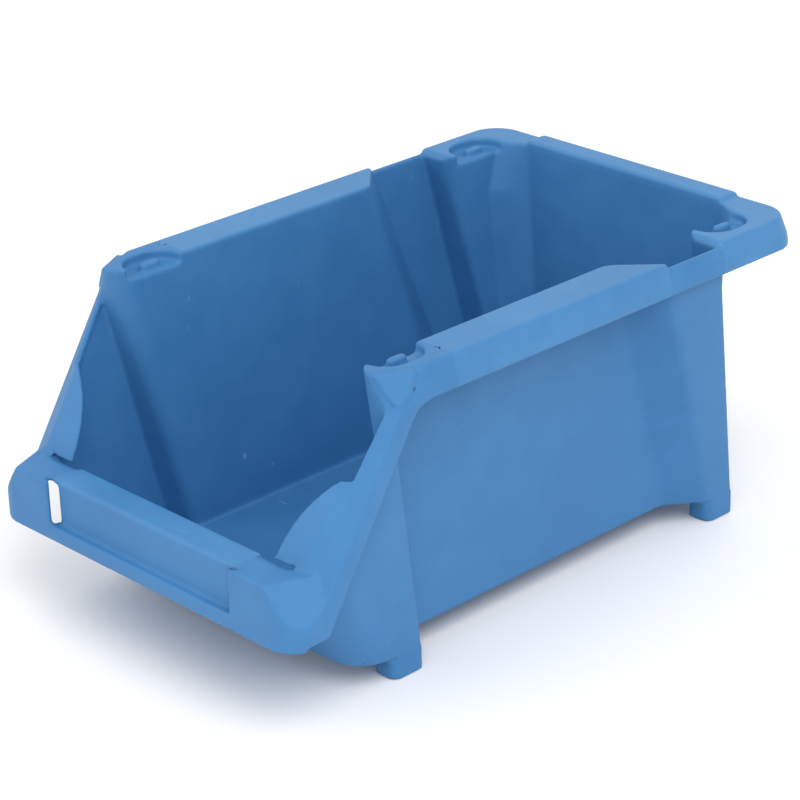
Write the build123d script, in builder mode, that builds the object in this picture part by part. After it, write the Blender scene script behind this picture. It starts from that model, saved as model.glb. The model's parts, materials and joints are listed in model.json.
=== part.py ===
from build123d import *
from math import hypot
import os

# Open-fronted stackable storage bin, one moulding, shown as its moulded regions.
# X is across the bin, the open front faces -Y, Z is up, and the feet stand on z = 0.

os.makedirs("parts", exist_ok=True)

# ---------------------------------------------------------------- overall sizes
length = 333.0           # front of the lip to the back of the rim
width = 204.0            # over the hanging skirts of the rim
deck_height = 153.0      # top of the side rims above the ground
rear_rise = 2.0          # how far the rear rim stands above the side rims

# ---------------------------------------------------------------- wall and floor
wall = 2.3               # moulded wall
floor_thickness = 2.3
hem_height = 12.0        # underside of the floor above the ground
rim_plate = 2.3          # thickness of the flat top of the rim

# ---------------------------------------------------------------- rim section
skirt_drop = 15.5        # how far the skirt hangs below the deck
slope_drop = 10.0        # height of the sloping upper part of the skirt
skirt_flare = 3.0        # how far the skirt leans out below the deck edge
slope_flare = 2.5        # share of that lean taken by the upper slope
skirt_wall = 2.0
ledge_width = 21.0       # flat top of a side rim
rear_ledge = 13.0        # flat top of the rear rim
rim_corner = 16.0        # plan radius of the rear rim corners

# ---------------------------------------------------------------- side walls
wall_draft = 6.5         # how far the side wall leans in from deck to hem
column_draft = 10.0      # how far the rear corner leans in
pocket_inset = 4.8       # inner face of a nesting pocket in from the skirt
leg_inset = 14.6         # outer face of a leg in from the skirt, at the hem

# ---------------------------------------------------------------- stacking points
stud_inset = 19.7        # stud centre in from the skirt
front_stud_back = 83.0   # front studs behind the front of the lip
rear_stud_ahead = 36.6   # rear studs ahead of the back of the rim
stud_length = 11.0
stud_width = 4.6
stud_height = 4.0
pad_length = 30.0        # recess around each stud, along the rim
pad_reach = 13.6         # recess from the inner edge of the rim outwards
pad_depth = 5.0
foot_behind = 6.6        # foot behind the stud centre
foot_ahead = 11.4        # foot ahead of the stud centre
foot_inner_gap = 2.0     # foot ring outside the foot of the side wall
foot_wall = 2.0
foot_round = 3.0
foot_lead_round = 5.0    # its outer corner ahead of the leg
foot_blend = 5.0         # curve from the hem down into the front of the foot

# ---------------------------------------------------------------- pockets and columns
step_lead = 22.2         # column face ahead of the stud centre at the deck
pocket_length = 35.5     # nesting pocket along the rim
pocket_ramp = 19.0       # flare from the side wall out to the pocket
low_step = 6.0           # rim is this much lower at the rear pockets
front_step_spread = 6.0  # front column face swings back at its foot
rear_step_spread = 7.0   # rear column face swings back at its foot
front_round_top = 12.0
front_round_foot = 6.0
rear_round_top = 8.0
cove_round = 12.0
ramp_round = 6.0
crest_round = 0.8        # sharp edges along the back of each leg
rear_cut_ahead = 6.0     # rear corners at the deck are cut this far ahead of the back wall
rear_cut_in = 14.0       # and this far in from the side
neck_drop = 25.0         # the rear corners widen over this height below the deck
neck_ahead = 15.0        # their cut at that height, ahead of the back wall
neck_in = 1.5            # side of the rear corner in from its line at the deck
back_draft = 2.0         # how far the back wall leans in from deck to hem

# ---------------------------------------------------------------- front
lip_height = 75.0        # top of the lip above the ground
lip_depth = 30.0         # height of the lip band
lip_ledge = 19.0         # top of the lip, front to back
lip_round = 14.0
lip_wall = 2.2
front_wall_foot = 53.5   # foot of the front wall behind the front of the lip
front_foot_round = 17.0
mouth_foot_back = 21.3   # mouth line behind the front of the lip, at mouth_foot_z
mouth_foot_z = 64.0
mouth_head_ahead = 6.0   # mouth line ahead of the front studs at the deck
mouth_plate = 2.3        # thickness of the sloping mouth rim
fold_in = 0.5            # fold of the mouth rim in from the side skirt
rim_slope = 0.55         # rise of the mouth rim for each mm in from the fold
web_proud = 7.0          # face of the webs proud of the fold
web_long = 41.5          # length of a web up the mouth
web_reach = 19.3         # how far a web reaches in from the mouth rim
corner_sweep = 15.0      # radius where the side skirt turns down the mouth
mouth_skirt = 9.8        # depth of its skirt
corner_cut_in = 17.4     # facet on each front corner of the lip, in from the side
corner_cut_back = 17.0   # and back from the front
corner_cut_top = 10.5    # and in from the side at that place
corner_cut_down = 15.0   # and down the side
facet_reach = 9.0        # facet at the head of the mouth, in from the edge of the deck
facet_back = 1.0         # from the mouth line back along that edge
facet_drop = 14.7        # and down the mouth
facet_turn_ahead = 4.7   # its corner under the slope, ahead of the mouth line at the deck

# ---------------------------------------------------------------- label holder
label_half = 62.0        # half width of the window between the lip ends
label_recess = 4.0       # card face behind the front of the lip
label_rail = 8.0         # height of the strip under the card
slit_width = 3.0         # open slit at each end of the card face
slit_depth = 2.0         # where it opens through the top of the lip

# ---------------------------------------------------------------- derived places
front = -length / 2
rear = length / 2
half = width / 2
deck_edge = half - skirt_flare
deck_under = deck_height - rim_plate
neck_height = deck_height - neck_drop
skirt_low = deck_height - skirt_drop
slope_low = deck_height - slope_drop
floor_top = hem_height + floor_thickness

wall_top_x = deck_edge - ledge_width
wall_foot_x = wall_top_x - wall_draft
column_foot_x = wall_top_x - column_draft
pocket_top_x = half - pocket_inset
leg_outer_x = half - leg_inset
leg_inner_x = leg_outer_x - wall

stud_x = half - stud_inset
front_stud_y = front + front_stud_back
rear_stud_y = rear - rear_stud_ahead
rear_deck_edge = rear - skirt_flare
rear_wall_y = rear_deck_edge - rear_ledge

front_step_y = front_stud_y - step_lead
rear_step_y = rear_stud_y - step_lead
pocket_front_y = rear_step_y - pocket_length
front_leg_rear = front_stud_y + foot_behind - wall
rear_leg_rear = rear_stud_y + foot_behind - wall
front_wall_y = front + front_wall_foot

lip_under = lip_height - lip_depth
lip_back = front + lip_ledge
mouth_foot_y = front + mouth_foot_back
mouth_head_y = front_stud_y - mouth_head_ahead
front_lean = (front_wall_y - lip_back) / (lip_height - hem_height)
front_top_y = front_wall_y - front_lean * (deck_height - hem_height)


def blend(foot, head, z):
    """Value at height z of something that runs straight from hem to deck."""
    share = (z - hem_height) / (deck_height - hem_height)
    return foot + (head - foot) * share


def half_plan(z):
    """Corners of the tub's inner face at height z, right side, front to back."""
    ramp_y = rear_leg_rear + wall - foot_behind - foot_ahead
    foot = [
        (leg_inner_x, front_wall_y),
        (leg_inner_x, front_leg_rear),
        (wall_foot_x, front_leg_rear + front_step_spread),
        (wall_foot_x, ramp_y - pocket_ramp),
        (leg_inner_x, ramp_y),
        (leg_inner_x, rear_leg_rear),
        (column_foot_x + wall, rear_leg_rear + rear_step_spread - wall),
    ]
    head = [
        (pocket_top_x, front_top_y),
        (pocket_top_x, front_step_y),
        (wall_top_x, front_step_y),
        (wall_top_x, pocket_front_y - pocket_ramp),
        (pocket_top_x, pocket_front_y),
        (pocket_top_x, rear_step_y),
        (wall_top_x, rear_step_y),
    ]
    corners = []
    for low, high in zip(foot, head):
        corners.append((blend(low[0], high[0], z), blend(low[1], high[1], z)))
    corner_foot = (column_foot_x, rear_leg_rear + rear_step_spread)
    corner_neck = (wall_top_x - neck_in, rear_wall_y - neck_ahead)
    corner_head = (wall_top_x, rear_wall_y - rear_cut_ahead)
    back_y = blend(rear_wall_y - back_draft, rear_wall_y, z)
    if z < neck_height:
        share = (z - hem_height) / (neck_height - hem_height)
        start, end = corner_foot, corner_neck
    else:
        share = (z - neck_height) / neck_drop
        start, end = corner_neck, corner_head
    side_x = start[0] + (end[0] - start[0]) * share
    side_y = start[1] + (end[1] - start[1]) * share
    corners.append((side_x, side_y))
    corners.append((side_x - rear_cut_in, back_y))
    return corners


def half_rounds(z):
    """Radius of each corner of half_plan at height z; inward corners are negative."""
    foot = [front_foot_round, crest_round, -front_round_foot, -cove_round, ramp_round]
    foot += [crest_round, -crest_round, crest_round, ramp_round]
    head = [front_foot_round, crest_round, -front_round_top, -cove_round, ramp_round]
    head += [crest_round, -rear_round_top, crest_round, ramp_round]
    return [blend(low, high, z) for low, high in zip(foot, head)]


def grown(corners, distance):
    """Closed outline moved outwards by distance, its corners mitred."""
    moved = []
    count = len(corners)
    for index in range(count):
        before = corners[index - 1]
        here = corners[index]
        after = corners[(index + 1) % count]
        first = (here[0] - before[0], here[1] - before[1])
        second = (after[0] - here[0], after[1] - here[1])
        first_length = hypot(first[0], first[1])
        second_length = hypot(second[0], second[1])
        first_normal = (first[1] / first_length, -first[0] / first_length)
        second_normal = (second[1] / second_length, -second[0] / second_length)
        spread = 1 + first_normal[0] * second_normal[0] + first_normal[1] * second_normal[1]
        shift_x = (first_normal[0] + second_normal[0]) / spread * distance
        shift_y = (first_normal[1] + second_normal[1]) / spread * distance
        moved.append((here[0] + shift_x, here[1] + shift_y))
    return moved


def both_sides(right_side):
    """Closed outline from its right-hand half, given front to back."""
    return right_side + [(-x, y) for x, y in reversed(right_side)]


def tub_outline(z, thickness):
    """Corners and radii of the tub at height z, thickness outside its inner face."""
    corners = grown(both_sides(half_plan(z)), thickness)
    rounds = half_rounds(z)
    radii = []
    for radius in rounds + rounds[::-1]:
        if radius > 0:
            radii.append(radius + thickness / 2)
        else:
            radii.append(max(-radius - thickness, crest_round))
    return corners, radii


def lean_y(foot, head):
    """Plane across the bin whose y runs from foot at the hem to head at the deck."""
    rise = deck_height - hem_height
    return Plane(origin=(0, foot, hem_height), x_dir=(1, 0, 0), z_dir=(0, rise, foot - head))


def lean_x(foot, head):
    """Plane along the bin whose x runs from foot at the hem to head at the deck."""
    rise = deck_height - hem_height
    return Plane(origin=(foot, 0, hem_height), x_dir=(0, 1, 0), z_dir=(rise, 0, foot - head))


def save(piece, label):
    """Name a piece and write it out."""
    piece.part.label = label
    export_step(piece.part, f"parts/{label}.step")


def save_pair(piece, label):
    """Write a right-hand piece and its mirror image on the left."""
    save(piece, label + "_right")
    with BuildPart() as other:
        add(mirror(piece.part, about=Plane.YZ, mode=Mode.PRIVATE))
    save(other, label + "_left")


# ---------------------------------------------------------------- cutting planes
leg_plane = lean_x(leg_inner_x, pocket_top_x)
front_panel_plane = lean_y(front_wall_y + front_foot_round + wall, front_top_y + front_foot_round + wall)
front_column_plane = lean_y(front_leg_rear + front_step_spread + front_round_foot, front_step_y + front_round_top)
ramp_foot_y = rear_stud_y - foot_ahead - pocket_ramp
ramp_plane = lean_y(ramp_foot_y - cove_round, pocket_front_y - pocket_ramp - cove_round)
rear_column_plane = lean_y(rear_leg_rear - foot_ahead / 2, rear_step_y - foot_ahead / 2)
rear_corner_x = column_foot_x - rear_cut_in - cove_round
back_plane = lean_x(rear_corner_x, wall_top_x - rear_cut_in - cove_round)

mouth_run = mouth_head_y - mouth_foot_y
mouth_rise = deck_height - mouth_foot_z
mouth_long = hypot(mouth_run, mouth_rise)
mouth_normal = (0, -mouth_rise / mouth_long, mouth_run / mouth_long)
mouth_plane = Plane(origin=(0, mouth_foot_y, mouth_foot_z), x_dir=(1, 0, 0), z_dir=mouth_normal)
web_plane = mouth_plane.offset(web_proud)

# the right mouth rim rises inwards from its fold
fold_x = half - fold_in
ridge_x = fold_x - web_proud / rim_slope
mouth_along = Vector(0, mouth_run / mouth_long, mouth_rise / mouth_long)
rim_outward = Vector(1, 0, 0) - Vector(*mouth_normal) * rim_slope
rim_plane = Plane(
    origin=(fold_x, mouth_foot_y, mouth_foot_z),
    x_dir=rim_outward,
    z_dir=rim_outward.cross(mouth_along),
)

# facet where the right side rim turns down into the mouth rim
facet_top = Vector(deck_edge - facet_reach, front_step_y, deck_height)
facet_side = Vector(deck_edge, mouth_head_y + facet_back, deck_height)
facet_low = Vector(fold_x, mouth_head_y - mouth_run / mouth_rise * facet_drop, deck_height - facet_drop)
facet_plane = Plane(
    origin=facet_top,
    x_dir=facet_side - facet_top,
    z_dir=(facet_low - facet_top).cross(facet_side - facet_top),
)


# ---------------------------------------------------------------- tub
def tub_ring(level):
    """Section of the tub wall at one height."""
    outer_corners, outer_radii = tub_outline(level, wall)
    inner_corners, inner_radii = tub_outline(level, 0)
    with BuildSketch(Plane.XY.offset(level)) as ring:
        with BuildLine():
            FilletPolyline(*outer_corners, radius=outer_radii, close=True)
        make_face()
        with BuildLine():
            FilletPolyline(*inner_corners, radius=inner_radii, close=True)
        make_face(mode=Mode.SUBTRACT)
    return ring.sketch


lower_rings = [tub_ring(floor_top), tub_ring(neck_height)]
upper_rings = [tub_ring(neck_height), tub_ring(deck_under)]
with BuildPart() as skin:
    loft(sections=lower_rings, ruled=True)
    loft(sections=upper_rings, ruled=True)

# space inside the tub at the thickness of the deck
void_levels = (deck_under, 2 * deck_height - deck_under)
with BuildPart() as tub_void:
    for level in void_levels:
        inner_corners, inner_radii = tub_outline(level, 0)
        with BuildSketch(Plane.XY.offset(level)):
            with BuildLine():
                FilletPolyline(*inner_corners, radius=inner_radii, close=True)
            make_face()
    loft(ruled=True)

with BuildPart() as floor_pan:
    for level in (hem_height, floor_top):
        outer_corners, outer_radii = tub_outline(level, wall)
        with BuildSketch(Plane.XY.offset(level)):
            with BuildLine():
                FilletPolyline(*outer_corners, radius=outer_radii, close=True)
            make_face()
    loft(ruled=True)

# the tub without its inside, below and above the neck
with BuildPart() as tub_filled:
    for low, high in ((floor_top, neck_height), (neck_height, deck_under)):
        sections = []
        for level in (low, high):
            outer_corners, outer_radii = tub_outline(level, wall)
            with BuildSketch(Plane.XY.offset(level)) as plan:
                with BuildLine():
                    FilletPolyline(*outer_corners, radius=outer_radii, close=True)
                make_face()
            sections.append(plan.sketch)
        loft(sections=sections, ruled=True)

with BuildPart() as tub_solid:
    for level in (neck_height, deck_under):
        outer_corners, outer_radii = tub_outline(level, wall)
        with BuildSketch(Plane.XY.offset(level)):
            with BuildLine():
                FilletPolyline(*outer_corners, radius=outer_radii, close=True)
            make_face()
    loft(ruled=True)


def mouth_y(z):
    """Where the face of the sloping mouth rim stands at height z."""
    return mouth_foot_y + mouth_run * (z - mouth_foot_z) / mouth_rise


# space ahead of the mouth and above the underside of the lip top, between the webs
lip_plate_under = lip_height - lip_wall
mouth_back = mouth_plate * mouth_long / mouth_rise
clear_height = 2 * deck_height
web_edge_x = ridge_x - web_reach
with BuildPart() as mouth_space:
    with BuildSketch(Plane.YZ.offset(-web_edge_x)):
        with BuildLine():
            Polyline(
                (front - width, lip_plate_under),
                (mouth_y(lip_plate_under) + mouth_back, lip_plate_under),
                (mouth_y(clear_height) + mouth_back, clear_height),
                (front - width, clear_height),
                close=True,
            )
        make_face()
    extrude(amount=2 * web_edge_x)

# space over the undersides of the right web, mouth rim and facet
with BuildPart() as corner_space:
    with BuildSketch(Plane.XY.offset(lip_plate_under)):
        with Locations((web_edge_x + half / 2, front)):
            Rectangle(half, width)
    extrude(amount=clear_height)
with BuildPart() as over_web:
    add(corner_space.part)
    split(bisect_by=web_plane.offset(-mouth_plate), keep=Keep.TOP)
with BuildPart() as over_rim:
    with BuildSketch(Plane.XY.offset(lip_under)):
        with Locations((ridge_x + half / 2, front)):
            Rectangle(half, width)
    extrude(amount=slope_low - lip_under)
    split(bisect_by=rim_plane.offset(-mouth_plate), keep=Keep.TOP)
with BuildPart() as over_facet:
    add(corner_space.part)
    split(bisect_by=facet_plane.offset(-mouth_plate), keep=Keep.TOP)

# recess over each stud, and the cup that closes it from below
pad_floor = deck_height - pad_depth
pad_under = pad_floor - rim_plate


def pad_sketch(stud_y, spare):
    """Plan of a stud recess, straight along the inside and round outside."""
    with BuildSketch(mode=Mode.PRIVATE) as plan:
        with BuildLine():
            FilletPolyline(
                (wall_top_x - wall, stud_y - pad_length / 2 - spare),
                (wall_top_x + pad_reach + spare, stud_y - pad_length / 2 - spare),
                (wall_top_x + pad_reach + spare, stud_y + pad_length / 2 + spare),
                (wall_top_x - wall, stud_y + pad_length / 2 + spare),
                radius=[0, pad_reach - 1, pad_reach - 1, 0],
                close=True,
            )
        make_face()
    return plan.sketch


with BuildPart() as pad_recess:
    for stud_y in (front_stud_y, rear_stud_y):
        with BuildSketch(Plane.XY.offset(pad_floor)):
            add(pad_sketch(stud_y, 0))
        extrude(amount=2 * pad_depth)

with BuildPart() as pad_cups:
    for stud_y in (front_stud_y, rear_stud_y):
        with BuildSketch(Plane.XY.offset(pad_under)):
            add(pad_sketch(stud_y, wall))
        extrude(amount=deck_under - pad_under)
    add(tub_solid.part, mode=Mode.SUBTRACT)

# front column block: the space inboard of the leg and behind the front of the column
with BuildPart() as front_column_right:
    add(skin.part)
    split(bisect_by=front_panel_plane, keep=Keep.TOP)
    split(bisect_by=front_column_plane, keep=Keep.BOTTOM)
    split(bisect_by=leg_plane, keep=Keep.BOTTOM)
    split(bisect_by=Plane.YZ, keep=Keep.TOP)
    add(pad_recess.part, mode=Mode.SUBTRACT)
    add(over_facet.part, mode=Mode.SUBTRACT)

with BuildPart() as front_wall:
    add(skin.part)
    split(bisect_by=front_panel_plane, keep=Keep.BOTTOM)
    add(mouth_space.part, mode=Mode.SUBTRACT)
    for over in (over_web.part, over_rim.part):
        add(over, mode=Mode.SUBTRACT)
        add(mirror(over, about=Plane.YZ, mode=Mode.PRIVATE), mode=Mode.SUBTRACT)

with BuildPart() as front_leg_right:
    add(skin.part)
    split(bisect_by=front_panel_plane, keep=Keep.TOP)
    split(bisect_by=front_column_plane, keep=Keep.BOTTOM)
    split(bisect_by=leg_plane, keep=Keep.TOP)
    split(bisect_by=Plane.YZ, keep=Keep.TOP)
    add(over_web.part, mode=Mode.SUBTRACT)
    add(over_rim.part, mode=Mode.SUBTRACT)
    add(over_facet.part, mode=Mode.SUBTRACT)

with BuildPart() as side_wall_right:
    add(skin.part)
    split(bisect_by=front_column_plane, keep=Keep.TOP)
    split(bisect_by=ramp_plane, keep=Keep.BOTTOM)
    split(bisect_by=Plane.YZ, keep=Keep.TOP)
    add(pad_recess.part, mode=Mode.SUBTRACT)

with BuildPart() as rear_block:
    add(skin.part)
    split(bisect_by=rear_column_plane, keep=Keep.TOP)
    split(bisect_by=leg_plane, keep=Keep.BOTTOM)

with BuildPart() as rear_leg_right:
    add(skin.part)
    split(bisect_by=ramp_plane, keep=Keep.TOP)
    split(bisect_by=Plane.YZ, keep=Keep.TOP)
    add(rear_block.part, mode=Mode.SUBTRACT)
    add(pad_recess.part, mode=Mode.SUBTRACT)

with BuildPart() as rear_column_right:
    add(rear_block.part)
    split(bisect_by=back_plane, keep=Keep.TOP)
    add(pad_recess.part, mode=Mode.SUBTRACT)

with BuildPart() as back_wall:
    add(rear_block.part)
    split(bisect_by=back_plane, keep=Keep.BOTTOM)
    add(mirror(back_wall.part, about=Plane.YZ, mode=Mode.PRIVATE), mode=Mode.INTERSECT)

# ---------------------------------------------------------------- stacking points
with BuildPart() as pads_open:
    add(pad_cups.part)
    add(pad_recess.part, mode=Mode.SUBTRACT)

pad_split = Plane.XZ.offset(-(front_stud_y + rear_stud_y) / 2)
with BuildPart() as front_pad_right:
    add(pads_open.part)
    split(bisect_by=pad_split, keep=Keep.TOP)

with BuildPart() as rear_pad_right:
    add(pads_open.part)
    split(bisect_by=pad_split, keep=Keep.BOTTOM)


def stud(stud_y):
    """Long boss that keys into the foot of the bin above."""
    with BuildPart() as boss:
        with BuildSketch(Plane(origin=(stud_x, stud_y, pad_floor), x_dir=(0, 1, 0), z_dir=(0, 0, 1))):
            SlotOverall(stud_length, stud_width)
        extrude(amount=stud_height)
        fillet(boss.faces().sort_by(Axis.Z)[-1].edges(), radius=stud_width / 6)
    return boss


def foot_block(inner_x, ahead_y, behind_y, inset):
    """Solid foot, or the hollow inside it, with its corner ahead of the leg well rounded."""
    with BuildPart(mode=Mode.PRIVATE) as block:
        with BuildSketch():
            with BuildLine():
                FilletPolyline(
                    (inner_x + inset, ahead_y + inset),
                    (leg_outer_x - inset, ahead_y + inset),
                    (leg_outer_x - inset, behind_y - inset),
                    (inner_x + inset, behind_y - inset),
                    radius=[
                        foot_round - inset / 2,
                        foot_lead_round - inset / 2,
                        crest_round,
                        foot_round - inset / 2,
                    ],
                    close=True,
                )
            make_face()
        extrude(amount=hem_height)
    return block.part


def foot(stud_y):
    """Open ring under a leg; it drops round the stud of the bin below."""
    inner_x = wall_foot_x + wall + foot_inner_gap - foot_wall
    ahead_y = stud_y - foot_ahead
    with BuildPart() as ring:
        add(foot_block(inner_x, ahead_y, stud_y + foot_behind, 0))
        add(
            foot_block(inner_x, ahead_y, stud_y + foot_behind, foot_wall),
            mode=Mode.SUBTRACT,
        )
        with BuildSketch(Plane.YZ.offset(inner_x + foot_round)):
            with BuildLine():
                RadiusArc((ahead_y - foot_blend, hem_height), (ahead_y, hem_height - foot_blend), foot_blend)
                Polyline(
                    (ahead_y, hem_height - foot_blend),
                    (ahead_y + foot_wall / 2, hem_height - foot_blend),
                    (ahead_y + foot_wall / 2, hem_height),
                    (ahead_y - foot_blend, hem_height),
                )
            make_face()
        extrude(amount=leg_outer_x - inner_x - foot_round - foot_wall)
    return ring


front_stud_right = stud(front_stud_y)
rear_stud_right = stud(rear_stud_y)
front_foot_right = foot(front_stud_y)
rear_foot_right = foot(rear_stud_y)


# ---------------------------------------------------------------- rim
def rim_outline(out, back):
    """Closed plan of the rim, out from its middle and back at the rear."""
    return [(out, front - width), (out, back), (-out, back), (-out, front - width)]


rim_levels = [
    (skirt_low, half, rear),
    (slope_low, deck_edge + slope_flare, rear_deck_edge + slope_flare),
    (deck_height, deck_edge, rear_deck_edge),
]
with BuildPart() as rim_outside:
    for low, high in zip(rim_levels, rim_levels[1:]):
        sections = []
        for level, out, back in (low, high):
            with BuildSketch(Plane.XY.offset(level)) as plan:
                with BuildLine():
                    FilletPolyline(*rim_outline(out, back), radius=[0, rim_corner, rim_corner, 0], close=True)
                make_face()
            sections.append(plan.sketch)
        loft(sections=sections, ruled=True)

under_levels = [
    (skirt_low, half, rear),
    (slope_low, deck_edge + slope_flare, rear_deck_edge + slope_flare),
    (deck_under, deck_edge + skirt_wall / 4, rear_deck_edge + skirt_wall / 4),
]
inner_corner = rim_corner - skirt_wall
with BuildPart() as rim_inside:
    for low, high in zip(under_levels, under_levels[1:]):
        sections = []
        for level, out, back in (low, high):
            with BuildSketch(Plane.XY.offset(level)) as plan:
                with BuildLine():
                    FilletPolyline(
                        *rim_outline(out - skirt_wall, back - skirt_wall),
                        radius=[0, inner_corner, inner_corner, 0],
                        close=True,
                    )
                make_face()
            sections.append(plan.sketch)
        loft(sections=sections, ruled=True)

low_deck = deck_height - low_step

with BuildPart() as rim:
    add(rim_outside.part)
    add(rim_inside.part, mode=Mode.SUBTRACT)
    add(tub_void.part, mode=Mode.SUBTRACT)
    add(tub_solid.part, mode=Mode.SUBTRACT)
    add(pad_recess.part, mode=Mode.SUBTRACT)
    split(bisect_by=Plane.YZ, keep=Keep.TOP)

front_corner_y = front_stud_y + pad_length / 2 + wall
rear_corner_y = rear_step_y + wall
rear_centre_x = wall_top_x - rear_cut_in

with BuildPart() as front_rim_corner_right:
    add(rim.part)
    split(bisect_by=Plane.XZ.offset(-front_corner_y), keep=Keep.TOP)
    split(bisect_by=Plane.XZ.offset(-front_step_y), keep=Keep.BOTTOM)
    split(bisect_by=facet_plane.offset(-mouth_plate), keep=Keep.BOTTOM)
    add(over_rim.part, mode=Mode.SUBTRACT)

with BuildPart() as side_rim_right:
    add(rim.part)
    split(bisect_by=Plane.XZ.offset(-front_corner_y), keep=Keep.BOTTOM)
    split(bisect_by=Plane.XZ.offset(-pocket_front_y), keep=Keep.TOP)

with BuildPart() as pocket_rim_right:
    add(rim.part)
    split(bisect_by=Plane.XZ.offset(-pocket_front_y), keep=Keep.BOTTOM)
    split(bisect_by=Plane.XZ.offset(-rear_corner_y), keep=Keep.TOP)
    split(bisect_by=Plane.XY.offset(low_deck), keep=Keep.BOTTOM)

with BuildPart() as rear_rim_corner_right:
    add(rim.part)
    split(bisect_by=Plane.XZ.offset(-rear_corner_y), keep=Keep.BOTTOM)
    split(bisect_by=Plane.YZ.offset(rear_centre_x), keep=Keep.TOP)

with BuildPart() as rear_rim:
    add(rim.part)
    split(bisect_by=Plane.YZ.offset(rear_centre_x), keep=Keep.BOTTOM)
    split(bisect_by=Plane.XZ.offset(-rear_corner_y), keep=Keep.BOTTOM)
    with BuildSketch(Plane.XY.offset(deck_height)):
        with Locations((rear_centre_x / 2, rear_wall_y + rear_ledge / 2)):
            Rectangle(rear_centre_x, rear_ledge)
    extrude(amount=rear_rise)
    add(mirror(rear_rim.part, about=Plane.YZ, mode=Mode.PRIVATE))

# ---------------------------------------------------------------- mouth
mouth_low = lip_under + lip_wall
mouth_high = facet_low.Z


def flat_place(plane, point):
    """Place of a point on a plane, as seen square to it."""
    local = plane.to_local_coords(point)
    return (local.X, local.Y)


def up_mouth(z, x):
    """Place on the right mouth rim's own plane of the point at height z and width x."""
    outward = (x - fold_x) * hypot(1, rim_slope)
    rise = (fold_x - x) * rim_slope * mouth_run / mouth_long
    return (outward, (z - rise - mouth_foot_z) * mouth_long / mouth_rise)


# facet that turns the side rim down into the mouth rim
facet_turn = Vector(deck_edge + slope_flare, mouth_head_y - facet_turn_ahead, slope_low)
facet_inner = Vector(deck_edge - wall / 4, facet_low.Y - skirt_wall - wall / 2, facet_low.Z + wall)
with BuildPart() as mouth_facet_right:
    with BuildSketch(facet_plane):
        with BuildLine():
            Polyline(
                flat_place(facet_plane, facet_top),
                flat_place(facet_plane, facet_side),
                flat_place(facet_plane, facet_turn),
                flat_place(facet_plane, facet_low),
                flat_place(facet_plane, facet_inner),
                close=True,
            )
        make_face()
    extrude(amount=-mouth_plate)
    add(front_pad_right.part, mode=Mode.SUBTRACT)

web_foot = up_mouth(lip_height, ridge_x)[1]
web_head_z = lip_height + web_long * mouth_rise / mouth_long
panel_x = blend(leg_inner_x, pocket_top_x, mouth_high)
with BuildPart() as mouth_rim_right:
    with BuildSketch(rim_plane):
        with BuildLine():
            Polyline(
                up_mouth(mouth_low, fold_x),
                up_mouth(mouth_high, fold_x),
                up_mouth(mouth_high + mouth_plate, panel_x),
                up_mouth(web_head_z, blend(leg_inner_x, pocket_top_x, web_head_z)),
                up_mouth(web_head_z, ridge_x),
                up_mouth(mouth_low, ridge_x),
                close=True,
            )
        make_face()
    extrude(amount=-mouth_plate)
    split(bisect_by=Plane.XY.offset(mouth_low), keep=Keep.TOP)
    add(front_rim_corner_right.part, mode=Mode.SUBTRACT)
    add(mouth_facet_right.part, mode=Mode.SUBTRACT)
    add(front_wall.part, mode=Mode.SUBTRACT)
    add(front_column_right.part, mode=Mode.SUBTRACT)

# skirt that hangs from the fold, swept round into the skirt of the side rim
skirt_back = mouth_skirt * mouth_long / mouth_rise
with BuildPart() as mouth_skirt_right:
    with BuildSketch(Plane.YZ.offset(fold_x - skirt_wall)):
        with BuildLine():
            FilletPolyline(
                (mouth_y(mouth_low), mouth_low),
                (mouth_y(skirt_low), skirt_low),
                (mouth_y(skirt_low) + skirt_back + 0.6 * corner_sweep, skirt_low),
                (mouth_y(skirt_low) + skirt_back, skirt_low - skirt_wall / 4),
                (mouth_y(mouth_low) + skirt_back, mouth_low),
                radius=[0, 0, 0, corner_sweep, 0],
                close=True,
            )
        make_face()
    extrude(amount=skirt_wall)
    add(mouth_rim_right.part, mode=Mode.SUBTRACT)
    add(mouth_facet_right.part, mode=Mode.SUBTRACT)

# web across the lower corner of the mouth, from the mouth rim to the lip
with BuildPart() as mouth_web_right:
    with BuildSketch(web_plane):
        with BuildLine():
            Spline(
                (ridge_x, web_foot + web_long),
                (ridge_x - web_reach * 0.62, web_foot + web_long * 0.63),
                (ridge_x - web_reach, web_foot),
            )
            Polyline(
                (ridge_x - web_reach, web_foot),
                (ridge_x, web_foot),
                (ridge_x, web_foot + web_long),
            )
        make_face()
    extrude(amount=-mouth_plate)
    split(bisect_by=Plane.XY.offset(lip_height), keep=Keep.TOP)
    add(mouth_rim_right.part, mode=Mode.SUBTRACT)

# ---------------------------------------------------------------- lip
cut_front = Vector(half - corner_cut_in, front, lip_height)
cut_back = Vector(half - corner_cut_top, front + corner_cut_back, lip_height)
cut_side = Vector(half, front + corner_cut_back, lip_height - corner_cut_down)
cut_normal = (cut_side - cut_front).cross(cut_back - cut_front)
cut_plane = Plane(origin=cut_front, x_dir=cut_back - cut_front, z_dir=cut_normal)
lip_far = front + 2 * lip_ledge

with BuildPart() as lip_hollow:
    with BuildSketch(Plane.XY.offset(lip_under - lip_depth)):
        with BuildLine():
            FilletPolyline(
                (-wall, front + lip_wall),
                (half - lip_wall, front + lip_wall),
                (half - lip_wall, lip_far + lip_wall),
                (-wall, lip_far + lip_wall),
                radius=[0, lip_round - lip_wall, 0, 0],
                close=True,
            )
        make_face()
    extrude(amount=lip_plate_under - lip_under + lip_depth)
    split(bisect_by=cut_plane.offset(-lip_wall), keep=Keep.BOTTOM)

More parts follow.
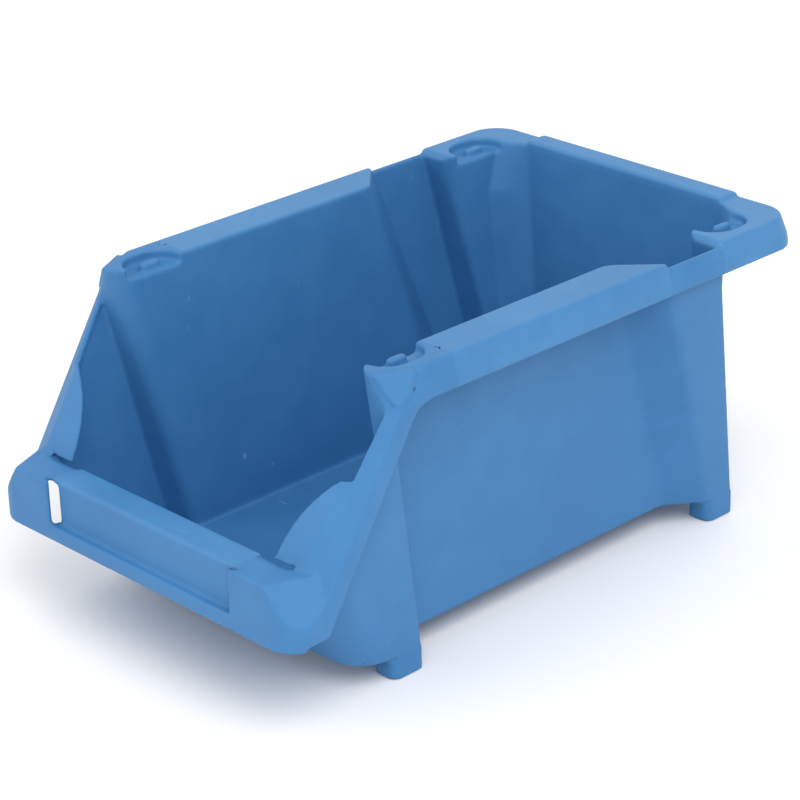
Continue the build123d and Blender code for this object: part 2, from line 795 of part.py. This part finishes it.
inner_corners, inner_radii = tub_outline(lip_plate_under, 0)
with BuildPart() as lip_void:
    with BuildSketch(Plane.XY.offset(lip_plate_under)):
        with BuildLine():
            FilletPolyline(*inner_corners, radius=inner_radii, close=True)
        make_face()
    extrude(amount=2 * lip_wall)

with BuildPart() as lip_shell:
    with BuildSketch(Plane.XY.offset(lip_under)):
        with BuildLine():
            FilletPolyline(
                (0, front),
                (half, front),
                (half, lip_far),
                (0, lip_far),
                radius=[0, lip_round, 0, 0],
                close=True,
            )
        make_face()
    extrude(amount=lip_depth)
    split(bisect_by=cut_plane, keep=Keep.BOTTOM)
    split(bisect_by=mouth_plane, keep=Keep.TOP)
    add(lip_hollow.part, mode=Mode.SUBTRACT)
    add(lip_void.part, mode=Mode.SUBTRACT)
    add(tub_filled.part, mode=Mode.SUBTRACT)
    add(mouth_rim_right.part, mode=Mode.SUBTRACT)
    add(mouth_skirt_right.part, mode=Mode.SUBTRACT)

card_front = front + label_recess
with BuildPart() as lip_end_right:
    add(lip_shell.part)
    split(bisect_by=Plane.YZ.offset(label_half), keep=Keep.TOP)
    with BuildSketch(Plane.XY.offset(lip_plate_under)):
        with Locations((label_half + slit_width / 2, front + lip_wall + slit_depth / 2)):
            Rectangle(slit_width, slit_depth)
    extrude(amount=2 * lip_wall, mode=Mode.SUBTRACT)

with BuildPart() as lip_top:
    with BuildSketch(Plane.XY.offset(lip_plate_under)):
        with BuildLine():
            Polyline(
                (-label_half, card_front),
                (label_half, card_front),
                (label_half, lip_far),
                (-label_half, lip_far),
                close=True,
            )
        make_face()
    extrude(amount=lip_wall)
    add(lip_void.part, mode=Mode.SUBTRACT)

rail_top = lip_under + label_rail
with BuildPart() as card_face:
    with BuildSketch(Plane.XY.offset(rail_top)):
        with Locations((0, card_front + lip_wall / 2)):
            Rectangle(2 * (label_half - slit_width), lip_wall)
    extrude(amount=lip_plate_under - rail_top)

with BuildPart() as card_rail:
    with BuildSketch(Plane.YZ.offset(-label_half)):
        with BuildLine():
            Polyline(
                (front, lip_under),
                (front + lip_wall, lip_under),
                (front + lip_wall, rail_top - lip_wall),
                (card_front + lip_wall, rail_top - lip_wall),
                (card_front + lip_wall, rail_top),
                (front, rail_top),
                close=True,
            )
        make_face()
    extrude(amount=2 * label_half)

save(floor_pan, "floor_pan")
save(front_wall, "front_wall")
save(back_wall, "back_wall")
save_pair(front_leg_right, "front_leg")
save_pair(front_column_right, "front_column")
save_pair(side_wall_right, "side_wall")
save_pair(rear_leg_right, "rear_leg")
save_pair(rear_column_right, "rear_column")
save_pair(front_pad_right, "front_pad")
save_pair(rear_pad_right, "rear_pad")
save_pair(front_stud_right, "front_stud")
save_pair(rear_stud_right, "rear_stud")
save_pair(front_foot_right, "front_foot")
save_pair(rear_foot_right, "rear_foot")
save_pair(front_rim_corner_right, "front_rim_corner")
save_pair(side_rim_right, "side_rim")
save_pair(pocket_rim_right, "pocket_rim")
save_pair(rear_rim_corner_right, "rear_rim_corner")
save(rear_rim, "rear_rim")
save_pair(mouth_rim_right, "mouth_rim")
save_pair(mouth_skirt_right, "mouth_skirt")
save_pair(mouth_facet_right, "mouth_facet")
save_pair(mouth_web_right, "mouth_web")
save_pair(lip_end_right, "lip_end")
save(lip_top, "lip_top")
save(card_face, "card_face")
save(card_rail, "card_rail")
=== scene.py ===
"""Open-fronted stackable storage bin: its moulded skin, its finishes and a plain pale studio."""

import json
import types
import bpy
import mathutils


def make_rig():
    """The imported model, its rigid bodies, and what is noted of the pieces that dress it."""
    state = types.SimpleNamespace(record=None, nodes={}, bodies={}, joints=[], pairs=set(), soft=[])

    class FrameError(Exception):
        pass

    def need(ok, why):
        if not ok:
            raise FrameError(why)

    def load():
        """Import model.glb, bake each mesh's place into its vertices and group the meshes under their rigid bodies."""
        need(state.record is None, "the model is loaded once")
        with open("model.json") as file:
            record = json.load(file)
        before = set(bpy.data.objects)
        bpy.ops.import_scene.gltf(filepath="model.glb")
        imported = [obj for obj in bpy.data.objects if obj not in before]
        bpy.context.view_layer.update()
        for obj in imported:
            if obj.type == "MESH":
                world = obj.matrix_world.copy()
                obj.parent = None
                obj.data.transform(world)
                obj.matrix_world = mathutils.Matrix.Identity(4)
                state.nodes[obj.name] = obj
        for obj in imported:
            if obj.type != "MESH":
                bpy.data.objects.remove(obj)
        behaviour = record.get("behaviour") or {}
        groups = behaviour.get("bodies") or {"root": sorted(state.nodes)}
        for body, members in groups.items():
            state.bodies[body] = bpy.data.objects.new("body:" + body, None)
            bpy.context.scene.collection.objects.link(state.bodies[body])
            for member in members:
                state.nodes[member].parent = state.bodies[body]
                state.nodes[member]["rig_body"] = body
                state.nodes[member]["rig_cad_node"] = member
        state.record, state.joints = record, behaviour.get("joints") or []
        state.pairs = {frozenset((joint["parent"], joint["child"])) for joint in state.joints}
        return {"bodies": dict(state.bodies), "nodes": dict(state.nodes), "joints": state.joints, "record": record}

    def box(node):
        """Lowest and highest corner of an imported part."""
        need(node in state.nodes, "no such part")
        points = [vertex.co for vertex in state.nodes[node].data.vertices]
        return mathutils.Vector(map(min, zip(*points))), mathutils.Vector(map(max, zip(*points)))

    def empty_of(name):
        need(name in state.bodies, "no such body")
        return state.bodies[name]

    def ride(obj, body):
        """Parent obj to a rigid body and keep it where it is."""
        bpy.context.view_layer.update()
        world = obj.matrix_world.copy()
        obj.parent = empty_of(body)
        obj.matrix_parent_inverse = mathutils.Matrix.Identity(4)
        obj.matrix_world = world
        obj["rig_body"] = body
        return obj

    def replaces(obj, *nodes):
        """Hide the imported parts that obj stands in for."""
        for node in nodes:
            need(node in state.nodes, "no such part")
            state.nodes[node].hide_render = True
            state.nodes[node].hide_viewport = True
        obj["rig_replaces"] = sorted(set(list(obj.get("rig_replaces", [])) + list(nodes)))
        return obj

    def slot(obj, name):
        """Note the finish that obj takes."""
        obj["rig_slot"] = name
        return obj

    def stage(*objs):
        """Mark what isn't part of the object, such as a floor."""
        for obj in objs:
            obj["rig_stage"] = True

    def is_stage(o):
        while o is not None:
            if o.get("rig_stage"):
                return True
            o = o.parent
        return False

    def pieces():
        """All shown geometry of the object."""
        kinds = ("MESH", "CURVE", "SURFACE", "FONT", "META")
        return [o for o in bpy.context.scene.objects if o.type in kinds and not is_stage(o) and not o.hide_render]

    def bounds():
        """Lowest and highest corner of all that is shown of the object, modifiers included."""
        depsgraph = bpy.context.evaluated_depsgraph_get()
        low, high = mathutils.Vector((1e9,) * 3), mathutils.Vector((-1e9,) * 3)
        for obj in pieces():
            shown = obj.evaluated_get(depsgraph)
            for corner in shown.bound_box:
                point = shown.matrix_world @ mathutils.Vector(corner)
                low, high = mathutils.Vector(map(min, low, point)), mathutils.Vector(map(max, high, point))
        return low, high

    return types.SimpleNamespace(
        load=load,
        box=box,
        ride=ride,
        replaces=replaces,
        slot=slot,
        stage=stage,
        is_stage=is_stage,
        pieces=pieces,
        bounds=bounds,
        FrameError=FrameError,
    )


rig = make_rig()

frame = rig.load()

import json
import logging
import math
from dataclasses import dataclass
from enum import Enum
from typing import Any

import bmesh
import bpy
from mathutils import Matrix, Vector
from mathutils.bvhtree import BVHTree

LOG = logging.getLogger("storage_bin")
MM = 0.001
CAD_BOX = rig.bounds()


# ---------------------------------------------------------------- shader building
class Wire:
    """One output of a shader graph, with arithmetic."""

    def __init__(self, graph: "Graph", socket: bpy.types.NodeSocket) -> None:
        """Keep the socket and the graph it belongs to.

        Args:
            graph: The graph that holds the socket's node.
            socket: An output socket.
        """
        self.graph = graph
        self.socket = socket

    def _math(self, operation: str, *values: Any) -> "Wire":
        """Put one Math node behind these values.

        Args:
            operation: The node's operation.
            values: Numbers or wires, in socket order.

        Returns:
            The node's output.
        """
        sockets = dict(enumerate(values))
        return self.graph.node("ShaderNodeMath", {"operation": operation}, sockets)

    def __add__(self, other: Any) -> "Wire":
        """Sum."""
        return self._math("ADD", self, other)

    def __radd__(self, other: Any) -> "Wire":
        """Sum, with the wire on the right."""
        return self._math("ADD", other, self)

    def __sub__(self, other: Any) -> "Wire":
        """Difference."""
        return self._math("SUBTRACT", self, other)

    def __rsub__(self, other: Any) -> "Wire":
        """Difference, with the wire on the right."""
        return self._math("SUBTRACT", other, self)

    def __mul__(self, other: Any) -> "Wire":
        """Product."""
        return self._math("MULTIPLY", self, other)

    def __rmul__(self, other: Any) -> "Wire":
        """Product, with the wire on the right."""
        return self._math("MULTIPLY", other, self)

    def clamped(self) -> "Wire":
        """The same value kept between 0 and 1."""
        return self._math("MINIMUM", self._math("MAXIMUM", self, 0.0), 1.0)

    def smooth_step(self, low: float, high: float) -> "Wire":
        """Smooth rise from 0 at low to 1 at high.

        Args:
            low: Value that gives 0.
            high: Value that gives 1.

        Returns:
            The stepped value.
        """
        settings = {"interpolation_type": "SMOOTHSTEP"}
        return self.graph.node("ShaderNodeMapRange", settings, {0: self, 1: low, 2: high})


class Graph:
    """The node graph of one material or world."""

    def __init__(self, tree: bpy.types.NodeTree) -> None:
        """Start from an empty tree.

        Args:
            tree: The node tree to fill.
        """
        tree.nodes.clear()
        self.tree = tree

    def node(
        self, kind: str, settings: dict[str, Any], sockets: dict[Any, Any], out: Any = 0
    ) -> Wire:
        """Add a node, set it, then fill or link its inputs.

        Args:
            kind: Blender's node type.
            settings: Properties set before any socket.
            sockets: Input name or number to a value or a wire.
            out: Name or number of the output to return.

        Returns:
            The chosen output.
        """
        made = self.tree.nodes.new(kind)
        for name, value in settings.items():
            setattr(made, name, value)
        for name, value in sockets.items():
            if isinstance(value, Wire):
                self.tree.links.new(value.socket, made.inputs[name])
            else:
                made.inputs[name].default_value = value
        return Wire(self, made.outputs[out])

    def end(self, kind: str, socket: str, wire: Wire) -> None:
        """Add the output node and link it.

        Args:
            kind: Output node type.
            socket: Its input.
            wire: What it shows.
        """
        made = self.tree.nodes.new(kind)
        self.tree.links.new(wire.socket, made.inputs[socket])


# ---------------------------------------------------------------- finishes
class Surface(Enum):
    """How the mould's face was finished where a region was formed; the smooth finish also carries a paler colour,
    which is painted light on the upward-facing rims.
    """

    GRAINED = "grained"
    SMOOTH = "smooth"


@dataclass(frozen=True)
class MouldedPlastic:
    """Semi-matte injection-moulded polypropylene."""

    name: str
    deep: tuple[float, float, float]
    pale: tuple[float, float, float]
    surface: Surface
    roughness: float = 0.5
    grain_per_m: float = 900.0
    grain_depth: float = 0.00014
    flow_per_m: float = 9.0
    mottle_per_m: float = 60.0
    wave_depth: float = 0.0008
    rubbed: tuple[float, float, float] = (0.36, 0.56, 0.80)

    def material(self) -> bpy.types.Material:
        """Build the plastic.

        Returns:
            The finished material.
        """
        made = bpy.data.materials.new(self.name)
        made.use_nodes = True
        graph = Graph(made.node_tree)
        place = graph.node("ShaderNodeTexCoord", {}, {}, "Object")
        flow = self._noise(graph, place, self.flow_per_m, 3.0)
        mottle = self._noise(graph, place, self.mottle_per_m, 4.0)
        grain = self._noise(graph, place, self.grain_per_m, 2.0)
        tone = (flow * 0.55 + mottle * 0.45).smooth_step(0.32, 0.68)
        colour = graph.node(
            "ShaderNodeMix",
            {"data_type": "RGBA"},
            {0: tone, 6: (*self.deep, 1.0), 7: (*self.pale, 1.0)},
            2,
        )
        scuffed = self._scuffs(graph, place)
        worn = graph.node(
            "ShaderNodeMix",
            {"data_type": "RGBA"},
            {0: scuffed * 0.35, 6: colour, 7: (*self.rubbed, 1.0)},
            2,
        )
        rough = self.roughness + (mottle - 0.5) * 0.12 + scuffed * 0.1
        bump = graph.node(
            "ShaderNodeBump",
            {},
            {"Strength": 0.5, "Distance": self.grain_depth, "Height": grain},
        )
        waves = graph.node(
            "ShaderNodeBump",
            {},
            {"Strength": 0.35, "Distance": self.wave_depth, "Height": flow, "Normal": bump},
        )
        shader = graph.node(
            "ShaderNodeBsdfPrincipled",
            {},
            {
                "Base Color": worn,
                "Roughness": rough.clamped(),
                "Normal": waves,
                "IOR": 1.49,
                "Specular IOR Level": 0.28,
            },
        )
        graph.end("ShaderNodeOutputMaterial", "Surface", shader)
        return made

    @staticmethod
    def _noise(graph: Graph, place: Wire, scale: float, detail: float) -> Wire:
        """Soft cloudy variation.

        Args:
            graph: Graph to add to.
            place: Coordinates.
            scale: Clouds per metre.
            detail: Octaves.

        Returns:
            A value around one half.
        """
        return graph.node(
            "ShaderNodeTexNoise",
            {},
            {"Vector": place, "Scale": scale, "Detail": detail, "Roughness": 0.5},
        )

    @staticmethod
    def _scuffs(graph: Graph, place: Wire) -> Wire:
        """Thin pale rubs and small specks.

        Args:
            graph: Graph to add to.
            place: Coordinates.

        Returns:
            1 on a rub, 0 elsewhere.
        """
        laid = graph.node(
            "ShaderNodeMapping",
            {},
            {"Vector": place, "Rotation": (0.5, 0.2, 0.7), "Scale": (9.0, 70.0, 30.0)},
        )
        line = graph.node(
            "ShaderNodeTexNoise",
            {},
            {"Vector": laid, "Scale": 3.0, "Detail": 2.0, "Roughness": 0.6},
        )
        speck = graph.node(
            "ShaderNodeTexNoise",
            {},
            {"Vector": place, "Scale": 300.0, "Detail": 1.0, "Roughness": 0.4},
        )
        return (line.smooth_step(0.74, 0.82) + speck.smooth_step(0.83, 0.87)).clamped()


class Finishes:
    """The plastics of the bin, made once and shared: a grained one, and a smooth one whose paler colour is painted
    light.
    """

    def __init__(self) -> None:
        """Make each finish."""
        grained = MouldedPlastic(
            "blue_grained", (0.039, 0.167, 0.380), (0.049, 0.192, 0.418), Surface.GRAINED
        )
        # Smooth mould face: its lower roughness and finer grain are real, its paler colours are painted light for the
        # upward-facing rims.
        smooth = MouldedPlastic(
            "blue_smooth",
            (0.044, 0.180, 0.395),
            (0.056, 0.210, 0.440),
            Surface.SMOOTH,
            roughness=0.44,
            grain_depth=0.00008,
        )
        self.by_surface = {f.surface: f.material() for f in (grained, smooth)}

    def of(self, surface: Surface) -> bpy.types.Material:
        """The material for a surface.

        Args:
            surface: Which surface.

        Returns:
            Its material.
        """
        return self.by_surface[surface]


# ---------------------------------------------------------------- the moulding
@dataclass
class Moulding:
    """The bin's one skin, softened at every edge, and shared out over its named regions."""

    nodes: dict[str, bpy.types.Object]
    voxel: float = 0.8 * MM
    rounds: int = 6
    softness: float = 0.5
    keep: float = 0.5
    wall: float = 2.3 * MM
    small_gap: int = 12
    merge_gap: float = 0.002 * MM
    bead: float = 1.3 * MM
    bead_head: tuple[float, float, float] = (3.1 * MM, 0.8 * MM, 2.0 * MM)
    bead_foot: tuple[float, float, float] = (1.1 * MM, 7.2 * MM, 12.2 * MM)
    smallest_patch: int = 60
    # Regions that take the smooth finish: the upward-facing rims, painted paler as painted light.
    smooth_regions: tuple[str, ...] = ("lip_top", "rear_rim", "side_rim")

    def build(self, finishes: Finishes) -> list[bpy.types.Object]:
        """Make the skin and its regions.

        Args:
            finishes: The plastics to dress them in.

        Returns:
            One object per region.
        """
        skin = self._fused()
        self._soften(skin)
        made = self._shared_out(skin)
        for piece in made:
            name = piece.name.removeprefix("moulded_")
            # The upward-facing rims get the smooth finish, whose paler colour is painted light.
            smooth = any(name.startswith(start) for start in self.smooth_regions)
            surface = Surface.SMOOTH if smooth else Surface.GRAINED
            piece.data.materials.clear()
            piece.data.materials.append(finishes.of(surface))
            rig.ride(piece, "root")
            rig.replaces(piece, name)
            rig.slot(piece, "blue_polypropylene")
            LOG.info("%s: %d faces", piece.name, len(piece.data.polygons))
        return made

    def _fused(self) -> bpy.types.Object:
        """Join a copy of every region into one closed skin.

        Returns:
            The skin as an object in the scene.
        """
        joined = bmesh.new()
        for node in self.nodes.values():
            joined.from_mesh(node.data)
        bmesh.ops.remove_doubles(joined, verts=joined.verts[:], dist=self.merge_gap)
        for side in ("left", "right"):
            self._seal_facet(joined, side)
        mesh = bpy.data.meshes.new("skin")
        joined.to_mesh(mesh)
        joined.free()
        made = bpy.data.objects.new("skin", mesh)
        bpy.context.scene.collection.objects.link(made)
        remesh = made.modifiers.new("fuse", "REMESH")
        remesh.mode = "VOXEL"
        remesh.voxel_size = self.voxel
        self._apply(made)
        return made

    def _seal_facet(self, joined: bmesh.types.BMesh, side: str) -> None:
        """Run a bead of plastic down the seam between a mouth facet and the rim's skirt.

        Args:
            joined: The skin so far.
            side: "left" or "right".
        """
        low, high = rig.box(f"mouth_facet_{side}")
        outer, inward = (high[0], -1.0) if side == "right" else (low[0], 1.0)
        ends = []
        for inset, ahead, drop in (self.bead_head, self.bead_foot):
            ends.append(Vector((outer + inward * inset, high[1] - ahead, high[2] - drop)))
        head, foot = ends
        turn = (head - foot).to_track_quat("Z", "Y").to_matrix().to_4x4()
        bmesh.ops.create_cone(
            joined,
            cap_ends=True,
            segments=12,
            radius1=self.bead,
            radius2=self.bead,
            depth=(head - foot).length,
            matrix=Matrix.Translation((head + foot) / 2) @ turn,
        )

    def _soften(self, skin: bpy.types.Object) -> None:
        """Round the edges and thin out the mesh where it is flat.

        Args:
            skin: The fused skin.
        """
        soft = bmesh.new()
        soft.from_mesh(skin.data)
        for _ in range(self.rounds):
            bmesh.ops.smooth_vert(
                soft,
                verts=soft.verts[:],
                factor=self.softness,
                use_axis_x=True,
                use_axis_y=True,
                use_axis_z=True,
            )
        soft.to_mesh(skin.data)
        soft.free()
        LOG.info("skin: %d faces", len(skin.data.polygons))
        thin = skin.modifiers.new("thin", "DECIMATE")
        thin.ratio = self.keep
        self._apply(skin)
        LOG.info("skin, thinned: %d faces", len(skin.data.polygons))

    @staticmethod
    def _apply(made: bpy.types.Object) -> None:
        """Apply an object's modifiers.

        Args:
            made: The object.
        """
        seen = made.evaluated_get(bpy.context.evaluated_depsgraph_get())
        mesh = bpy.data.meshes.new_from_object(seen)
        made.modifiers.clear()
        old = made.data
        made.data = mesh
        bpy.data.meshes.remove(old)

    def _nearest(self, skin: bmesh.types.BMesh) -> list[str]:
        """The region that each face of the skin lies on.

        Args:
            skin: The softened skin.

        Returns:
            A region's name for each face.
        """
        joined = bmesh.new()
        owner: list[str] = []
        for name, node in self.nodes.items():
            joined.from_mesh(node.data)
            owner += [name] * (len(joined.faces) - len(owner))
        joined.faces.ensure_lookup_table()
        tree = BVHTree.FromBMesh(joined)
        joined.free()
        nearest = [owner[tree.find_nearest(face.calc_center_median())[2]] for face in skin.faces]
        return self._without_scraps(skin, nearest)

    def _without_scraps(self, skin: bmesh.types.BMesh, owner: list[str]) -> list[str]:
        """Give each small patch that is cut off from its region to the region round it.

        Args:
            skin: The softened skin.
            owner: A region's name for each face.

        Returns:
            The names, with the patches renamed.
        """
        skin.faces.ensure_lookup_table()
        skin.faces.index_update()
        seen = [False] * len(owner)
        for start in range(len(owner)):
            if seen[start]:
                continue
            seen[start] = True
            patch = [start]
            border: dict[str, int] = {}
            for index in patch:
                for edge in skin.faces[index].edges:
                    for face in edge.link_faces:
                        name = owner[face.index]
                        if name != owner[start]:
                            border[name] = border.get(name, 0) + 1
                        elif not seen[face.index]:
                            seen[face.index] = True
                            patch.append(face.index)
            if len(patch) < self.smallest_patch and border:
                chosen = max(sorted(border), key=lambda name: border[name])
                for index in patch:
                    owner[index] = chosen
        return owner

    def _shared_out(self, skin: bpy.types.Object) -> list[bpy.types.Object]:
        """Cut the skin into its regions.

        Args:
            skin: The softened skin.

        Returns:
            One object per region.
        """
        whole = bmesh.new()
        whole.from_mesh(skin.data)
        owner = self._nearest(whole)
        order = {name: index for index, name in enumerate(sorted(self.nodes))}
        for face, name in zip(whole.faces, owner):
            face.material_index = order[name]
            face.smooth = True
        skin.data.materials.clear()
        for name in order:
            skin.data.materials.append(bpy.data.materials.new("region_" + name))
        whole.to_mesh(skin.data)
        whole.free()
        before = set(bpy.data.objects)
        bpy.ops.object.select_all(action="DESELECT")
        skin.select_set(True)
        bpy.context.view_layer.objects.active = skin
        bpy.ops.object.mode_set(mode="EDIT")
        bpy.ops.mesh.select_all(action="SELECT")
        bpy.ops.mesh.separate(type="MATERIAL")
        bpy.ops.object.mode_set(mode="OBJECT")
        made = [skin] + [piece for piece in bpy.data.objects if piece not in before]
        for piece in made:
            region = piece.material_slots[piece.data.polygons[0].material_index].material.name
            piece.name = region.replace("region_", "moulded_")
            piece.data.name = piece.name
            self._close(piece)
        for name in order:
            bpy.data.materials.remove(bpy.data.materials["region_" + name])
        return made

    def _close(self, piece: bpy.types.Object) -> None:
        """Close a region across the wall, where it meets its neighbours.

        Args:
            piece: The region, open along its joints.
        """
        part = bmesh.new()
        part.from_mesh(piece.data)
        for face in part.faces:
            face.material_index = 0
        for edge in part.edges:
            edge.smooth = not edge.is_boundary
        outlines = self._outlines(part)
        whole = []
        for outline in outlines:
            if self._breadth(outline) < self.wall:
                self._close_strip(part, outline)
            else:
                whole.append(outline)
        while len(whole) > 1:
            first = whole.pop()
            middle = self._middle(first)
            second = min(whole, key=lambda other: (self._middle(other) - middle).length)
            if (self._middle(second) - middle).length > 3 * self.wall:
                continue
            whole.remove(second)
            self._bridge(part, self._sides(first, True) + self._sides(second, True))
        gaps = [edge for edge in part.edges if edge.is_boundary]
        bmesh.ops.holes_fill(part, edges=gaps, sides=self.small_gap)
        part.to_mesh(piece.data)
        part.free()

    @staticmethod
    def _outlines(part: bmesh.types.BMesh) -> list[list[bmesh.types.BMVert]]:
        """The open borders of a region, each as the run of its corners.

        Args:
            part: The region.

        Returns:
            One closed run of vertices per border.
        """
        spare = dict.fromkeys(edge for edge in part.edges if edge.is_boundary)
        found = []
        while spare:
            edge = next(iter(spare))
            del spare[edge]
            run = [edge.verts[0], edge.verts[1]]
            while run[-1] is not run[0]:
                onward = [e for e in run[-1].link_edges if e in spare]
                if not onward:
                    break
                del spare[onward[0]]
                run.append(onward[0].other_vert(run[-1]))
            if run[-1] is run[0] and len(run) > 6:
                found.append(run[:-1])
        return found

    @staticmethod
    def _breadth(outline: list[bmesh.types.BMVert]) -> float:
        """Mean breadth of the area inside a border.

        Args:
            outline: The border's vertices in order.

        Returns:
            Twice its area over its length.
        """
        area = Vector()
        around = 0.0
        for here, after in zip(outline, outline[1:] + outline[:1]):
            area += (here.co - outline[0].co).cross(after.co - outline[0].co)
            around += (after.co - here.co).length
        return area.length / around

    @staticmethod
    def _middle(outline: list[bmesh.types.BMVert]) -> Vector:
        """Mean place of a border's vertices."""
        return sum((vert.co for vert in outline), Vector()) / len(outline)

    @staticmethod
    def _sides(run: list[bmesh.types.BMVert], closed: bool) -> list[bmesh.types.BMEdge]:
        """Edges along a run of vertices.

        Args:
            run: The vertices in order.
            closed: Whether the last one joins the first.

        Returns:
            The edges.
        """
        pairs = list(zip(run, run[1:]))
        if closed:
            pairs.append((run[-1], run[0]))
        edges = []
        for first, second in pairs:
            edges += [edge for edge in first.link_edges if edge.other_vert(first) is second]
        return edges

    def _close_strip(self, part: bmesh.types.BMesh, outline: list[bmesh.types.BMVert]) -> None:
        """Close a cut that runs out along one face of the wall and back along the other.

        Args:
            part: The region.
            outline: The border of the cut.
        """
        start = max(outline, key=lambda vert: (vert.co - self._middle(outline)).length)
        far = max(outline, key=lambda vert: (vert.co - start.co).length)
        turn = outline.index(start)
        run = outline[turn:] + outline[:turn]
        half_way = run.index(far)
        out, back = run[1:half_way], run[half_way + 1 :]
        if min(len(out), len(back)) < 2:
            return
        self._bridge(part, self._sides(out, False) + self._sides(back, False))

    def _bridge(self, part: bmesh.types.BMesh, edges: list[bmesh.types.BMEdge]) -> None:
        """Join two runs of edges, and drop the join where it would stray out of the wall.

        Args:
            part: The region.
            edges: Edges of both runs.
        """
        try:
            made = bmesh.ops.bridge_loops(part, edges=edges)["faces"]
        except RuntimeError:
            return
        astray = [face for face in made if max(e.calc_length() for e in face.edges) > 5 * self.wall]
        bmesh.ops.delete(part, geom=astray, context="FACES")


# ---------------------------------------------------------------- studio
@dataclass
class Studio:
    """Pale floor, soft lights and the camera."""

    eye: tuple[float, float, float] = (0.8795, -0.8368, 0.6243)
    ahead: tuple[float, float, float] = (-0.66241, 0.62720, -0.40968)
    roll: float = -1.608
    lens: float = 126.73
    aimed_at: tuple[float, float, float] = (0.0, 0.0, 0.07)
    floor_half: float = 6.0
    floor_drop: float = 0.0002

    def build(self) -> None:
        """Set up everything round the bin."""
        self._floor()
        self._world()
        self._lamp("key", (1.0, -0.5, 1.4), 1.2, 16.0)
        self._lamp("fill", (-1.1, -1.3, 1.2), 1.4, 7.5)
        self._lamp("rear", (-0.4, 1.5, 1.2), 1.2, 1.5)
        self._camera()

    def _floor(self) -> None:
        """A wide pale floor."""
        shape = bmesh.new()
        bmesh.ops.create_grid(shape, x_segments=1, y_segments=1, size=self.floor_half)
        mesh = bpy.data.meshes.new("floor")
        shape.to_mesh(mesh)
        shape.free()
        floor = bpy.data.objects.new("floor", mesh)
        floor.location.z = -self.floor_drop
        bpy.context.scene.collection.objects.link(floor)
        paint = bpy.data.materials.new("pale_floor")
        paint.use_nodes = True
        graph = Graph(paint.node_tree)
        shader = graph.node(
            "ShaderNodeBsdfPrincipled",
            {},
            {"Base Color": (0.93, 0.93, 0.93, 1.0), "Roughness": 0.9},
        )
        graph.end("ShaderNodeOutputMaterial", "Surface", shader)
        mesh.materials.append(paint)
        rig.stage(floor)

    @staticmethod
    def _world() -> None:
        """An even pale surround."""
        world = bpy.data.worlds.new("surround")
        bpy.context.scene.world = world
        world.use_nodes = True
        graph = Graph(world.node_tree)
        light = graph.node(
            "ShaderNodeBackground", {}, {"Color": (1.0, 1.0, 1.0, 1.0), "Strength": 0.9}
        )
        graph.end("ShaderNodeOutputWorld", "Surface", light)

    def _lamp(
        self, name: str, place: tuple[float, float, float], size: float, watts: float
    ) -> None:
        """A square soft light aimed at the bin.

        Args:
            name: Its name.
            place: Where it hangs.
            size: Length of its side.
            watts: Its power.
        """
        lamp = bpy.data.lights.new(name, "AREA")
        lamp.size = size
        lamp.energy = watts
        held = bpy.data.objects.new(name, lamp)
        held.location = place
        aim = Vector(self.aimed_at) - Vector(place)
        held.rotation_mode = "QUATERNION"
        held.rotation_quaternion = aim.to_track_quat("-Z", "Y")
        bpy.context.scene.collection.objects.link(held)

    def _camera(self) -> None:
        """The camera, with no depth of field."""
        data = bpy.data.cameras.new("camera")
        data.lens = self.lens
        data.sensor_width = 36.0
        data.clip_end = 50.0
        camera = bpy.data.objects.new("camera", data)
        ahead = Vector(self.ahead).normalized()
        turn = ahead.to_track_quat("-Z", "Y").to_matrix().to_4x4()
        turn = Matrix.Rotation(math.radians(self.roll), 4, -ahead) @ turn
        camera.matrix_world = Matrix.Translation(Vector(self.eye)) @ turn
        bpy.context.scene.collection.objects.link(camera)
        bpy.context.scene.camera = camera


def main() -> None:
    """Build the bin and the studio, and report each piece."""
    logging.basicConfig(level=logging.INFO, format="%(name)s: %(message)s")
    scene = bpy.context.scene
    scene.view_settings.view_transform = "Standard"
    finishes = Finishes()
    moulding = Moulding(nodes=frame["nodes"])
    moulding.build(finishes)
    Studio().build()
    low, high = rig.bounds()
    with open("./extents.json", "w", encoding="utf-8") as out:
        json.dump({"cad": [list(c) for c in CAD_BOX], "visual": [list(low), list(high)]}, out)
    LOG.info("visual box: %s to %s", tuple(low), tuple(high))


if __name__ == "__main__":
    main()
